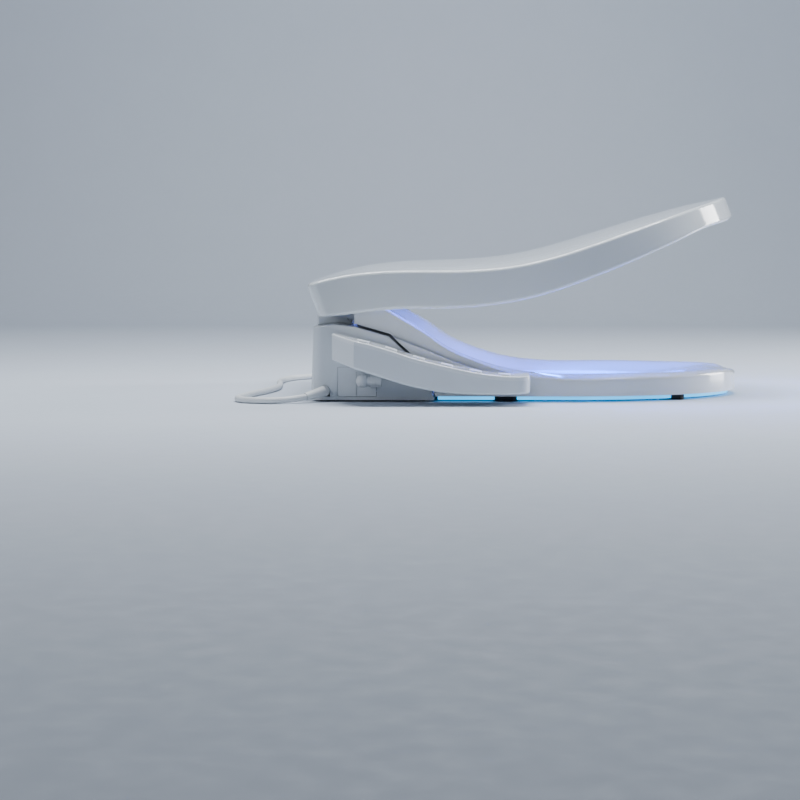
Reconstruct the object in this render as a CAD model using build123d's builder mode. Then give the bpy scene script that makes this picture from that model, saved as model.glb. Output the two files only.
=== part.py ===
from build123d import *
import math
import os

# Electric bidet seat. Millimetres. X runs across, the arm is on -X, the tip of the seat is
# towards -Y, +Z is up. The origin is midway between the two fixing bolts, on the surface
# that the seat stands on. The lid is drawn closed and then turned to where it rests.

# Driving dimensions
HALF_WIDTH = 190.0  # seat and lid, half of the width
STRAIGHT_END = -250.0  # the sides are straight as far as here
NOSE = 220.0  # length of the elliptical front beyond that
WALL = 3.0  # moulded walls
HINGE_Y = 16.0
HINGE_Z = 110.0
LID_REST = 21.5  # degrees that the lid stands open at rest
FLOOR_GAP = 6.5  # underside of the seat ring above the rim
SEAT_GAP = 3.0  # between the seat and the housing
BASE_LOW = 2.0  # underside of the housing
BASE_TOP = 6.0  # joint between the base and the top cover
SHAFT_R = 5.0
RUNNING = 0.05  # radial clearance of a shaft in its bore
FREE = 0.3  # clearance between loose mouldings
BOLT_SPACING = 140.0
CORD_D = 7.5

HINGE_AXIS = Axis((0, HINGE_Y, HINGE_Z), (1, 0, 0))
CASE_HALF = HALF_WIDTH  # housing, half of the width
ARM_INNER = -HALF_WIDTH - 4.0
ARM_OUTER = -265.0

# Side profile of the housing (y, z), from the rear foot over the top to the front foot
HOUSING = (
    (38.0, BASE_LOW),
    (34.5, 86.5),
    (11.0, 89.0),
    (-12.0, 86.6),
    (-52.0, 75.0),
    (-79.5, 49.4),
    (-100.0, 15.0),
    (-104.0, BASE_LOW),
)

# Lid, closed: (y, height of the edge crease, crown above it, height of the lower edge)
LID_STATIONS = (
    (40.0, 142.0, 4.0, 104.5),
    (10.0, 140.0, 6.0, 95.5),
    (-25.0, 133.0, 9.0, 86.5),
    (-70.0, 119.0, 12.0, 72.5),
    (-116.0, 101.0, 14.0, 55.0),
    (-160.0, 85.0, 15.0, 42.0),
    (-208.0, 72.5, 15.0, 33.0),
    (-262.0, 66.0, 14.0, 30.0),
    (-320.0, 63.5, 12.0, 30.0),
    (-380.0, 61.5, 9.0, 32.0),
    (-430.0, 59.5, 5.0, 33.5),
    (-480.0, 56.0, 1.5, 34.0),
)

# Seat: (y, outer crease, crest above it, height at mid ring, height on the centre line)
SEAT_STATIONS = (
    (0.0, 114.0, 7.0, 107.0, 105.0),
    (-30.0, 107.0, 7.0, 98.0, 94.0),
    (-49.0, 99.0, 7.0, 90.0, 86.0),
    (-66.0, 89.5, 7.0, 80.0, 76.0),
    (-83.0, 79.0, 7.5, 68.0, 64.0),
    (-98.0, 69.0, 8.0, 58.0, 54.0),
    (-112.0, 59.0, 8.0, 50.0, 46.0),
    (-126.0, 51.5, 7.5, 43.0, 40.0),
    (-145.0, 44.0, 7.0, 36.0, 34.0),
    (-168.0, 37.0, 6.0, 29.5, 27.0),
    (-195.0, 31.0, 5.5, 25.0, 23.0),
    (-232.0, 27.0, 5.0, 22.0, 20.0),
    (-320.0, 26.5, 5.0, 22.0, 20.0),
    (-375.0, 26.5, 5.0, 23.5, 22.0),
    (-410.0, 26.5, 5.0, 27.5, 27.5),
    (-440.0, 27.0, 4.5, 31.0, 31.5),
    (-480.0, 26.5, 3.0, 28.5, 29.0),
)
# Ledge on the seat's side that the lid's skirt closes over (y, z)
LEDGE = (
    (-30.0, 84.0),
    (-60.0, 73.5),
    (-82.0, 65.0),
    (-111.0, 53.0),
    (-134.0, 44.0),
    (-158.0, 36.5),
    (-185.0, 28.5),
    (-215.0, 23.0),
)
LEDGE_STEP = 7.0
OPENING_Y = -263.0
OPENING_RX = 105.0
OPENING_RY = 145.0

# Arm: upper and lower edge of its side (y, z)
ARM_TOP = (
    (14.0, 80.5),
    (-16.0, 73.0),
    (-41.0, 67.0),
    (-82.0, 54.0),
    (-124.0, 43.5),
    (-160.0, 36.5),
    (-214.0, 34.4),
)
ARM_BOTTOM = (
    (14.0, 49.5),
    (-16.0, 41.5),
    (-67.0, 25.5),
    (-107.0, 16.6),
    (-146.0, 13.2),
    (-214.0, 14.2),
)
ARM_BAND = 5.0  # height of the top panel's edge
ARM_WALL = 2.5

# Wash nozzles: their own plane, from the mouth backwards and upwards
NOZZLE_TILT = 14.5
NOZZLE_MOUTH = (0.0, -90.0, 22.0)
NOZZLE_X = 14.0
NOZZLE_R = 6.0
NOZZLE_LENGTH = 112.0
NOZZLE_TRAVEL = 95.0
PINION_TEETH = 14
PINION_R = 7.0
PINION_X = NOZZLE_X + 8.0 + PINION_R
PINION_Y = 14.0
tilt = math.radians(NOZZLE_TILT)
NOZZLE_PLANE = Plane(
    origin=NOZZLE_MOUTH, x_dir=(1, 0, 0), z_dir=(0, -math.sin(tilt), math.cos(tilt))
)

os.makedirs("parts", exist_ok=True)


def save(part, name):
    """Write one finished piece."""
    part.label = name
    export_step(part, f"parts/{name}.step")


def at_rest(part):
    """A piece of the lid, turned about the hinge to where the lid rests."""
    return part.rotate(HINGE_AXIS, -LID_REST)


def half_width(y):
    """Half of the plan outline's width at y, no less than a short stub at the tip."""
    past = min(1.0, max(0.0, (STRAIGHT_END - y) / NOSE))
    return max(60.0, HALF_WIDTH * math.sqrt(1 - past**2))


def plan_prism(inset, rear, corner, low, high, step=0.0):
    """Upright prism on the plan outline of seat and lid; step narrows its rear half."""
    half = HALF_WIDTH - inset
    with BuildPart() as made:
        with BuildSketch(Plane.XY.offset(low)):
            with BuildLine():
                right = [(half, STRAIGHT_END)]
                if step:
                    right += [(half, -210), (half - step, -150)]
                right.append((half - step, rear))
                Polyline(*right, *[(-x, y) for x, y in reversed(right)])
                EllipticalCenterArc((0, STRAIGHT_END), half, NOSE - inset, 180, arc_size=180)
            make_face()
            if corner:
                fillet(vertices().group_by(Axis.Y)[-1], corner)
        extrude(amount=high - low)
    return made.part


def lid_loft(drop, low_shift):
    """Crowned lid body; drop lowers its top, low_shift moves its lower side."""
    with BuildPart() as made:
        for y, crease, crown, low in LID_STATIONS:
            width = half_width(y)
            span = width + 10
            top = crease + crown - drop
            edge = top - crown * (span / width) ** 2
            foot = low + low_shift
            with BuildSketch(Plane.XZ.offset(-y)):
                with BuildLine():
                    ThreePointArc((-span, edge), (0, top), (span, edge))
                    Polyline((span, edge), (span, foot), (-span, foot), (-span, edge))
                make_face()
        loft()
    return made.part


def seat_loft(drop, low):
    """Seat body with a crest along each side and a dished middle."""
    with BuildPart() as made:
        for y, crease, crest, ring, middle in SEAT_STATIONS:
            span = half_width(y) + 10
            profile = [
                (span, crease - 5 - drop),
                (0.86 * span, crease + crest - drop),
                (0.55 * span, ring - drop),
                (0, middle - drop),
            ]
            profile += [(-x, z) for x, z in reversed(profile[:-1])]
            with BuildSketch(Plane.XZ.offset(-y)):
                with BuildLine():
                    Spline(*profile)
                    Polyline(profile[-1], (-span, low), (span, low), profile[0])
                make_face()
        loft()
    return made.part


def side_prism(points, low, half=HALF_WIDTH + 20):
    """Prism across the whole width under a smooth line through points (y, z)."""
    with BuildPart() as made:
        with BuildSketch(Plane.YZ):
            with BuildLine():
                Spline(*points)
                Polyline(points[-1], (points[-1][0], low), (points[0][0], low), points[0])
            make_face()
        extrude(amount=half, both=True)
    return made.part


def housing_prism(grow, half):
    """The housing's side profile, grown and drawn across."""
    with BuildPart() as made:
        with BuildSketch(Plane.YZ):
            with BuildLine():
                Polyline(*HOUSING, close=True)
            make_face()
            fillet(vertices().sort_by(Axis.Y)[-2], 6)
            if grow:
                offset(amount=grow)
        extrude(amount=half, both=True)
    return made.part


def seat_body(inset, drop, floor, grow):
    """Solid seat ring with its openings; grow widens every opening and gap."""
    skirt = plan_prism(inset, -12 - grow, 0, floor, 130)
    upper = plan_prism(inset, -12 - grow, 0, floor, 130, step=LEDGE_STEP)
    ledge = side_prism([(y, z - drop) for y, z in LEDGE] + [(-480.0, 22.0 - drop)], 0)
    top = seat_loft(drop, 0)
    room = housing_prism(SEAT_GAP + grow, 260)
    with BuildPart() as made:
        add(skirt)
        add(ledge, mode=Mode.INTERSECT)
        add(upper)
        add(top, mode=Mode.INTERSECT)
        add(room, mode=Mode.SUBTRACT)
        with BuildSketch(Plane.XY):
            with Locations((0, OPENING_Y)):
                Ellipse(OPENING_RX + grow, OPENING_RY + grow)
        extrude(amount=130, mode=Mode.SUBTRACT)
        with Locations((18, -115, 19)):
            Box(2 * (74 + grow), 60, 2 * (17 + grow), mode=Mode.SUBTRACT)
    return made.part


# ---------------------------------------------------------------- seat
seat_sharp = seat_body(0, 0, FLOOR_GAP, 0).solids()[0]
seat_rim = []
for edge in seat_sharp.edges():
    spot = edge.center()
    if edge.length > 600 and spot.Z > 20:
        seat_rim.append(edge)
    elif edge.length > 30 and abs(abs(spot.X) - HALF_WIDTH) < 1.5 and spot.Z > 24 and spot.Y < -100:
        if abs(edge.tangent_at(0.5).Z) < 0.9:
            seat_rim.append(edge)
seat_solid = seat_sharp.fillet(4, seat_rim)
seat_hollow = seat_body(WALL, WALL, FLOOR_GAP, WALL)
EAR_R = 13.0
SEAT_EAR = (136.0, 149.5)
LID_EAR = (151.0, 165.0)

with BuildPart() as seat_top:
    add(seat_solid)
    add(seat_hollow, mode=Mode.SUBTRACT)
    for side in (-1, 1):
        with BuildSketch(Plane.YZ.offset(side * SEAT_EAR[0])):
            with Locations((HINGE_Y, HINGE_Z)):
                Circle(EAR_R)
            with BuildLine():
                Polyline((12, 122.3), (-15.5, 104), (-15.5, 91.5), (12, 97.6), close=True)
            make_face()
            with Locations((HINGE_Y, HINGE_Z)):
                Circle(SHAFT_R, mode=Mode.SUBTRACT)
        extrude(amount=side * (SEAT_EAR[1] - SEAT_EAR[0]))
save(seat_top.part, "seat_top")

with BuildPart() as seat_base:
    add(seat_hollow)
    with Locations((0, -240, FLOOR_GAP + 1.25)):
        Box(420, 480, 2.5, mode=Mode.INTERSECT)
save(seat_base.part, "seat_base")

HEATER_Z = 14.0
with BuildPart() as seat_heater:
    with BuildSketch(Plane.XY.offset(HEATER_Z)):
        for ring in (0, 14, 28):
            with Locations((0, OPENING_Y - 6)):
                Ellipse(OPENING_RX + 24 + ring, OPENING_RY + 12 + ring / 2)
                Ellipse(OPENING_RX + 20 + ring, OPENING_RY + 8 + ring / 2, mode=Mode.SUBTRACT)
        with Locations((0, -311)):
            Rectangle(400, 318, mode=Mode.INTERSECT)
        for x in (-150, 150):
            with Locations((x, -170)):
                Rectangle(62, 8)
    extrude(amount=1.2)
save(seat_heater.part, "seat_heater")

BUMPER_SPOTS = ((-174, -186), (174, -186), (-134, -380), (134, -380))
with BuildPart() as seat_bumpers:
    with BuildSketch(Plane.XY):
        with Locations(*BUMPER_SPOTS):
            SlotOverall(30, 16, rotation=90)
    extrude(amount=FLOOR_GAP)
    fillet(edges().group_by(Axis.Z)[0], 1.5)
save(seat_bumpers.part, "seat_bumpers")

LIGHT_INSET = 9.0
LIGHT_HEIGHT = 4.5
light_outer = plan_prism(LIGHT_INSET, -108, 0, FLOOR_GAP - LIGHT_HEIGHT, FLOOR_GAP)
light_inner = plan_prism(LIGHT_INSET + 5, -100, 0, FLOOR_GAP - LIGHT_HEIGHT - 1, FLOOR_GAP + 1)
with BuildPart() as seat_light:
    add(light_outer)
    add(light_inner, mode=Mode.SUBTRACT)
    with BuildSketch(Plane.XY):
        with Locations(*BUMPER_SPOTS):
            SlotOverall(32, 18, rotation=90)
    extrude(amount=FLOOR_GAP, mode=Mode.SUBTRACT)
save(seat_light.part, "seat_light")

# ---------------------------------------------------------------- lid
lid_prism = plan_prism(0, 32, 12, 0, 170)
lid_hollow = plan_prism(WALL, 32 - WALL, 9, 0, 170)
lid_outside = lid_loft(0, 0)
lid_inside = lid_loft(WALL, -30)
REAR_CUT = 168.0
with BuildPart() as lid_block:
    add(lid_outside)
    add(lid_prism, mode=Mode.INTERSECT)
lid_sharp = lid_block.part.solids()[0]
lid_edges = []
for edge in lid_sharp.edges():
    spot = edge.center()
    if (spot.Z > 85 and abs(edge.tangent_at(0.5).Z) < 0.9) or (edge.length > 600 and spot.Z > 50):
        lid_edges.append(edge)
lid_round = lid_sharp.fillet(4, lid_edges)
with BuildPart() as lid_cavity:
    add(lid_inside)
    add(lid_hollow, mode=Mode.INTERSECT)
with BuildPart() as lid_shell:
    add(lid_round)
    add(lid_cavity.part, mode=Mode.SUBTRACT)
    with Locations((0, 30, 113)):
        Box(2 * REAR_CUT, 20, 48, mode=Mode.SUBTRACT)
    for side in (-1, 1):
        with BuildSketch(Plane.YZ.offset(side * LID_EAR[0])):
            with Locations((HINGE_Y, HINGE_Z)):
                Circle(EAR_R)
            with Locations((HINGE_Y, HINGE_Z + 15)):
                Rectangle(20, 30)
            with Locations((HINGE_Y, HINGE_Z)):
                Circle(SHAFT_R + RUNNING, mode=Mode.SUBTRACT)
        extrude(amount=side * (LID_EAR[1] - LID_EAR[0]))
save(at_rest(lid_shell.part), "lid_shell")

PANEL_DROP = 14.0
panel_top = lid_loft(PANEL_DROP - 2, -30)
panel_under = lid_loft(PANEL_DROP, -40)
panel_plan = plan_prism(WALL, -25, 0, 0, 170)
with BuildPart() as lid_panel:
    add(panel_top)
    add(panel_under, mode=Mode.SUBTRACT)
    add(panel_plan, mode=Mode.INTERSECT)
    with Locations((0, -225, 60)):
        Box(420, 520, 160, mode=Mode.INTERSECT)
save(at_rest(lid_panel.part), "lid_panel")

with BuildPart() as lid_bumpers:
    with BuildSketch(Plane.XY.offset(34)):
        with Locations((-148, -230), (148, -230), (-100, -385), (100, -385)):
            Circle(8)
    extrude(amount=40)
    add(panel_under, mode=Mode.INTERSECT)
save(at_rest(lid_bumpers.part), "lid_bumpers")

# ---------------------------------------------------------------- hinge
SHAFT_IN = 112.0
SHAFT_OUT = 166.5
with BuildPart() as hinge_shafts:
    for side in (-1, 1):
        with BuildSketch(Plane.YZ.offset(side * SHAFT_IN)):
            with Locations((HINGE_Y, HINGE_Z)):
                Circle(SHAFT_R)
        extrude(amount=side * (SHAFT_OUT - SHAFT_IN))
save(hinge_shafts.part, "hinge_shafts")

COVER_HALF = 134.0
COVER_FRONT = -7.0
COVER_REAR = 34.0
COVER_TOP = 134.0
housing_outside = housing_prism(0, CASE_HALF)
with BuildPart() as hinge_cover:
    with BuildSketch(Plane.YZ):
        with Locations(((COVER_FRONT + COVER_REAR) / 2, (80 + COVER_TOP) / 2)):
            Rectangle(COVER_REAR - COVER_FRONT, COVER_TOP - 80)
        fillet(vertices().group_by(Axis.Y)[-1], 15)
    extrude(amount=COVER_HALF, both=True)
    with BuildSketch(Plane.YZ):
        with Locations(((COVER_FRONT + COVER_REAR) / 2, (74 + COVER_TOP) / 2)):
            Rectangle(COVER_REAR - COVER_FRONT - 2 * WALL, COVER_TOP - 74 - 2 * WALL)
        fillet(vertices().group_by(Axis.Y)[-1], 12)
    extrude(amount=COVER_HALF - WALL, both=True, mode=Mode.SUBTRACT)
    add(housing_outside, mode=Mode.SUBTRACT)
    with BuildSketch(Plane.YZ.offset(-COVER_HALF - 1)):
        with Locations((HINGE_Y, HINGE_Z)):
            Circle(SHAFT_R + RUNNING)
    extrude(amount=2 * COVER_HALF + 2, mode=Mode.SUBTRACT)
    with BuildSketch(Plane.XZ.offset(-COVER_FRONT - 1)):
        with Locations((0, 108)):
            RectangleRounded(64.6, 12.6, 4)
    extrude(amount=6, both=True, mode=Mode.SUBTRACT)
save(hinge_cover.part, "hinge_cover")

with BuildPart() as lamp_lens:
    with BuildSketch(Plane.XZ.offset(-COVER_FRONT + 0.6)):
        with Locations((0, 108)):
            RectangleRounded(64, 12, 3.7)
    extrude(amount=-5)
save(lamp_lens.part, "lamp_lens")

BRACKET_X = 124.0
with BuildPart() as hinge_brackets:
    for side in (-1, 1):
        with BuildSketch(Plane.YZ.offset(side * BRACKET_X)):
            with BuildLine():
                Polyline((0, 90.2), (30, 90.2), (27, 113), (21, 121), (11, 121), (4, 113), close=True)
            make_face()
            with Locations((HINGE_Y, HINGE_Z)):
                Circle(SHAFT_R + RUNNING, mode=Mode.SUBTRACT)
        extrude(amount=side * 3)
        with BuildSketch(Plane.XY.offset(90.2)):
            with Locations((side * (BRACKET_X - 9), HINGE_Y)):
                Rectangle(20, 26)
                Circle(2.2, mode=Mode.SUBTRACT)
        extrude(amount=2)
save(hinge_brackets.part, "hinge_brackets")

with BuildPart() as hinge_dampers:
    for side in (-1, 1):
        with BuildSketch(Plane.YZ.offset(side * 58)):
            with Locations((HINGE_Y, HINGE_Z)):
                Circle(11)
        extrude(amount=side * 42)
        with BuildSketch(Plane.YZ.offset(side * 100)):
            with Locations((HINGE_Y, HINGE_Z)):
                Circle(6.5)
        extrude(amount=side * 11.5)
        with Locations((side * 79, HINGE_Y, 96.5)):
            Box(30, 16, 8)
save(hinge_dampers.part, "hinge_dampers")

# ---------------------------------------------------------------- housing
INNER_HALF = CASE_HALF - 2.8
NOZZLE_GATE = (84.0, 37.0)  # width and top of the front opening
INLET_Y = -22.6
INLET_Z = 24.5
CORD_Y = 22.0
CORD_Z = 12.5
FILTER_Y = -20.0
FILTER_Z = 34.0
RELEASE_Y = 20.0
RELEASE_Z = 30.0
SIDE_PANEL = (-38.0, 7.0, BASE_TOP, 40.0)

housing_inside = housing_prism(-2.8, INNER_HALF)
plan_corners = 14.0
with BuildPart() as case_plan:
    with BuildSketch():
        with Locations((0, -33)):
            Rectangle(2 * CASE_HALF, 142)
        fillet(vertices().group_by(Axis.Y)[-1], plan_corners)
    extrude(amount=100)

with BuildPart() as cover_block:
    add(housing_outside)
    add(case_plan.part, mode=Mode.INTERSECT)
cover_sharp = cover_block.part.solids()[0]
cover_edges = []
for edge in cover_sharp.edges():
    spot = edge.center()
    if abs(abs(spot.X) - CASE_HALF) < 0.5 and spot.Z > 30 and abs(edge.tangent_at(0.5).Z) < 0.95:
        cover_edges.append(edge)
with BuildPart() as cover_cavity:
    with BuildSketch(Plane.XY.offset(BASE_TOP - 2)):
        with Locations((0, -33)):
            Rectangle(2 * INNER_HALF, 142 - 5.6)
        fillet(vertices().group_by(Axis.Y)[-1], plan_corners - 2.8)
    extrude(amount=100)
    add(housing_inside, mode=Mode.INTERSECT)
with BuildPart() as top_cover:
    add(cover_sharp.fillet(2.5, cover_edges))
    add(cover_cavity.part, mode=Mode.SUBTRACT)
    with Locations((0, -33, BASE_TOP - 10)):
        Box(500, 300, 20, mode=Mode.SUBTRACT)
    with BuildSketch(Plane.XY.offset(BASE_TOP - 2)):
        with Locations((0, -32.5)):
            Rectangle(2 * INNER_HALF, 132)
        fillet(vertices().group_by(Axis.Y)[-1], plan_corners - 2.8)
    extrude(amount=4, mode=Mode.SUBTRACT)
    with Locations((0, -96, 10)):
        Box(NOZZLE_GATE[0], 40, 2 * (NOZZLE_GATE[1] - 10), mode=Mode.SUBTRACT)
    with Locations((68, -96, 23)):
        Box(43, 40, 28, mode=Mode.SUBTRACT)
    with BuildSketch(Plane.YZ.offset(-CASE_HALF - 1)):
        with Locations((CORD_Y, CORD_Z)):
            Circle(6.5)
        with Locations((CORD_Y, CORD_Z / 2)):
            Rectangle(13, CORD_Z)
        with Locations(((SIDE_PANEL[0] + SIDE_PANEL[1]) / 2, (SIDE_PANEL[2] + SIDE_PANEL[3]) / 2)):
            Rectangle(SIDE_PANEL[1] - SIDE_PANEL[0], SIDE_PANEL[3] - SIDE_PANEL[2])
    extrude(amount=12, mode=Mode.SUBTRACT)
    with BuildSketch(Plane.YZ.offset(CASE_HALF + 1)):
        with Locations((FILTER_Y, FILTER_Z)):
            RectangleRounded(52.6, 32.6, 3)
        with Locations((RELEASE_Y, RELEASE_Z)):
            RectangleRounded(18.6, 12.6, 3)
    extrude(amount=-8, mode=Mode.SUBTRACT)
    for x in (-75, 0, 75):
        with Locations((x, 12, 86)):
            Cylinder(6, 12, mode=Mode.SUBTRACT)
save(top_cover.part, "top_cover")

PLATE_HALF = 100.0
BOARD_Z = 66.0
SCREW_SPOTS = ((-176, 24), (176, 24), (-176, -84), (176, -84), (-62, -84), (104, -84))
BOARD_POSTS = ((-149, -32), (-149, 22), (-84, -32), (-84, 22))
with BuildPart() as base_tray:
    with BuildSketch(Plane.XY.offset(BASE_LOW)):
        with Locations((0, -33)):
            Rectangle(2 * CASE_HALF, 142)
        fillet(vertices().group_by(Axis.Y)[-1], plan_corners)
    extrude(amount=BASE_TOP - BASE_LOW)
    with Locations((0, -9.5, 7)):
        Box(2 * PLATE_HALF + 10, 85, 4)
    with Locations((0, -5, 3.45)):
        Box(2 * PLATE_HALF + 2, 90, 4.9, mode=Mode.SUBTRACT)
    for side in (-1, 1):
        with Locations((side * 98.6, -28, 2.55)):
            Box(4.8, 42, 1.1)
    for x, y in BOARD_POSTS:
        with BuildSketch(Plane.XY.offset(BASE_TOP)):
            with Locations((x, y)):
                Circle(2.5)
        extrude(amount=BOARD_Z - BASE_TOP)
    with BuildSketch(Plane.XY.offset(BASE_TOP)):
        with Locations(*SCREW_SPOTS):
            Circle(5)
    extrude(amount=14)
    with BuildSketch(Plane.XY.offset(BASE_LOW)):
        with Locations(*SCREW_SPOTS):
            Circle(3.5)
    extrude(amount=2.4, mode=Mode.SUBTRACT)
    with BuildSketch(Plane.XY.offset(BASE_LOW)):
        with Locations(*SCREW_SPOTS):
            Circle(1.7)
    extrude(amount=18.5, mode=Mode.SUBTRACT)
save(base_tray.part, "base_tray")

with BuildPart() as base_pads:
    with BuildSketch():
        with Locations((-165, 20), (165, 20), (-165, -84), (165, -84)):
            Circle(9)
    extrude(amount=BASE_LOW)
save(base_pads.part, "base_pads")

with BuildPart() as side_panel:
    with BuildSketch(Plane.YZ.offset(-CASE_HALF + 0.2)):
        with Locations(((SIDE_PANEL[0] + SIDE_PANEL[1]) / 2, (SIDE_PANEL[2] + SIDE_PANEL[3]) / 2)):
            Rectangle(SIDE_PANEL[1] - SIDE_PANEL[0] - 0.8, SIDE_PANEL[3] - SIDE_PANEL[2] - 0.8)
        with Locations((-15, 14)):
            Rectangle(0.8, 40, mode=Mode.SUBTRACT)
        with Locations((INLET_Y, INLET_Z)):
            Circle(5.4, mode=Mode.SUBTRACT)
    extrude(amount=2.4)
    with Locations((-CASE_HALF + 3.4, -15.5, 22)):
        Box(2, 43, 31)
    with BuildSketch(Plane.YZ.offset(-CASE_HALF)):
        with Locations((INLET_Y, INLET_Z)):
            Circle(5.4)
    extrude(amount=8, mode=Mode.SUBTRACT)
save(side_panel.part, "side_panel")

with BuildPart() as case_screws:
    with BuildSketch(Plane.XY.offset(BASE_LOW + 0.2)):
        with Locations(*SCREW_SPOTS):
            Circle(3.2)
    extrude(amount=2.2)
    with BuildSketch(Plane.XY.offset(BASE_LOW + 2.4)):
        with Locations(*SCREW_SPOTS):
            Circle(1.65)
    extrude(amount=14)
save(case_screws.part, "case_screws")

# ---------------------------------------------------------------- fixing to the toilet
with BuildPart() as mounting_plate:
    with Locations((0, -6, 2.7)):
        Box(2 * (PLATE_HALF - 5), 72, 5.4)
    with Locations((0, -6, 4.4)):
        Box(2 * PLATE_HALF, 72, 2)
    with BuildSketch():
        with Locations((-BOLT_SPACING / 2, 0), (BOLT_SPACING / 2, 0)):
            SlotOverall(24, 9)
    extrude(amount=10, mode=Mode.SUBTRACT)
    with BuildSketch():
        with Locations((0, -6)):
            RectangleRounded(60, 40, 6)
    extrude(amount=10, mode=Mode.SUBTRACT)
save(mounting_plate.part, "mounting_plate")

with BuildPart() as release_button:
    with BuildSketch(Plane.YZ.offset(CASE_HALF + 2)):
        with Locations((RELEASE_Y, RELEASE_Z)):
            RectangleRounded(18, 12, 2.7)
    extrude(amount=-10)
    with Locations((CASE_HALF - 6.8, RELEASE_Y, RELEASE_Z)):
        Box(4, 20, 15)
    fillet(faces().sort_by(Axis.X)[-1].edges(), 1)
save(release_button.part, "release_button")

# ---------------------------------------------------------------- arm
with BuildPart() as arm_plan:
    with BuildSketch():
        with BuildLine():
            Polyline(
                (ARM_INNER, 11),
                (-222, 11),
                (ARM_OUTER, -16),
                (ARM_OUTER, -212),
                (ARM_INNER, -212),
                close=True,
            )
        make_face()
        fillet(vertices().group_by(Axis.Y)[0].sort_by(Axis.X)[0], 16)
        fillet(vertices().group_by(Axis.Y)[0].sort_by(Axis.X)[-1], 5)
    extrude(amount=120)
with BuildPart() as arm_room:
    with BuildSketch():
        with BuildLine():
            Polyline((-197, 8), (-222, 8), (-262, -17), (-262, -196), (-250, -208), (-197, -208), close=True)
        make_face()
    extrude(amount=120)


def arm_side(drop_top, lift_bottom):
    """Prism of the arm's side between its upper and lower line."""
    with BuildPart() as made:
        with BuildSketch(Plane.YZ.offset(-CASE_HALF)):
            with BuildLine():
                upper = Spline(*[(y, z - drop_top) for y, z in ARM_TOP])
                lower = Spline(*[(y, z + lift_bottom) for y, z in ARM_BOTTOM])
                Line(upper @ 1, lower @ 1)
                Line(upper @ 0, lower @ 0)
            make_face()
        extrude(amount=-100)
    return made.part


arm_whole = arm_side(0, 0)
arm_low = arm_side(ARM_BAND, 0)
arm_hollow = arm_side(ARM_BAND - 1, ARM_WALL)
housing_inset = housing_prism(-5, 260)
arm_line = Edge.make_spline([Vector(0, y, z) for y, z in ARM_TOP])
BUTTON_X = -229.0
BUTTON_AT = (0.17, 0.31, 0.45, 0.59, 0.73, 0.87)
BUTTON_NAMES = ("light", "warmer", "dryer", "front_wash", "rear_wash", "stop")
BUTTON_SIZE = (34.0, 14.0)
BUTTON_TRAVEL = 1.0
button_planes = []
for share in BUTTON_AT:
    spot = arm_line.position_at(share)
    along = arm_line.tangent_at(share)
    button_planes.append(
        Plane(origin=(BUTTON_X, spot.Y, spot.Z), x_dir=(1, 0, 0), z_dir=Vector(1, 0, 0).cross(-along))
    )

with BuildPart() as arm_block:
    add(arm_low)
    add(arm_plan.part, mode=Mode.INTERSECT)
arm_block_solid = arm_block.part.solids()[0]
arm_foot = max(arm_block_solid.faces(), key=lambda face: face.area if face.normal_at().Z < -0.5 else 0)
arm_block_solid = arm_block_solid.fillet(3, arm_foot.edges())
with BuildPart() as arm_lid:
    add(arm_whole)
    add(arm_plan.part, mode=Mode.INTERSECT)
    add(arm_low, mode=Mode.SUBTRACT)
arm_lid_solid = arm_lid.part.solids()[0]
arm_face = max(arm_lid_solid.faces(), key=lambda face: face.area if face.normal_at().Z > 0.5 else 0)
arm_lid_solid = arm_lid_solid.fillet(1.6, arm_face.edges())

with BuildPart() as arm_case:
    add(arm_block_solid)
    with BuildPart(mode=Mode.PRIVATE) as arm_cavity:
        add(arm_hollow)
        add(arm_room.part, mode=Mode.INTERSECT)
    add(arm_cavity.part, mode=Mode.SUBTRACT)
with BuildPart() as arm_root:
    add(arm_low)
    add(housing_inset, mode=Mode.INTERSECT)
    with Locations((-192, -40, 50)):
        Box(4, 110, 100, mode=Mode.INTERSECT)
with BuildPart() as arm_lower_case:
    add(arm_case.part)
    add(arm_root.part)
save(arm_lower_case.part, "arm_case")

with BuildPart() as arm_panel:
    add(arm_lid_solid)
    for plane in button_planes:
        with BuildSketch(plane):
            RectangleRounded(BUTTON_SIZE[0] + 2 * FREE, BUTTON_SIZE[1] + 2 * FREE, 4.3)
        extrude(amount=12, both=True, mode=Mode.SUBTRACT)
save(arm_panel.part, "arm_panel")

for plane, name in zip(button_planes, BUTTON_NAMES):
    with BuildPart() as button:
        with BuildSketch(plane.offset(-6.2)):
            RectangleRounded(BUTTON_SIZE[0], BUTTON_SIZE[1], 4)
        extrude(amount=6.9)
        with BuildSketch(plane.offset(-6.8)):
            RectangleRounded(BUTTON_SIZE[0] + 3, BUTTON_SIZE[1] + 3, 4)
        extrude(amount=1.2)
    save(button.part, "button_" + name)
    print("button", name, plane.origin, plane.z_dir)

board_top = arm_side(9.2, 0)
board_under = arm_side(10.6, 0)
with BuildPart() as arm_board:
    add(board_top)
    add(board_under, mode=Mode.SUBTRACT)
    with Locations((BUTTON_X, -100, 50)):
        Box(50, 176, 100, mode=Mode.INTERSECT)
save(arm_board.part, "arm_board")

# ---------------------------------------------------------------- wash nozzles
MOUTH_PLANE = Plane(origin=NOZZLE_MOUTH, x_dir=(1, 0, 0), z_dir=(0, math.cos(tilt), math.sin(tilt)))
PITCH = 2 * math.pi * PINION_R / PINION_TEETH
RACK_ROOT = NOZZLE_X + 7.0
RACK_START = 6.0

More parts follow.
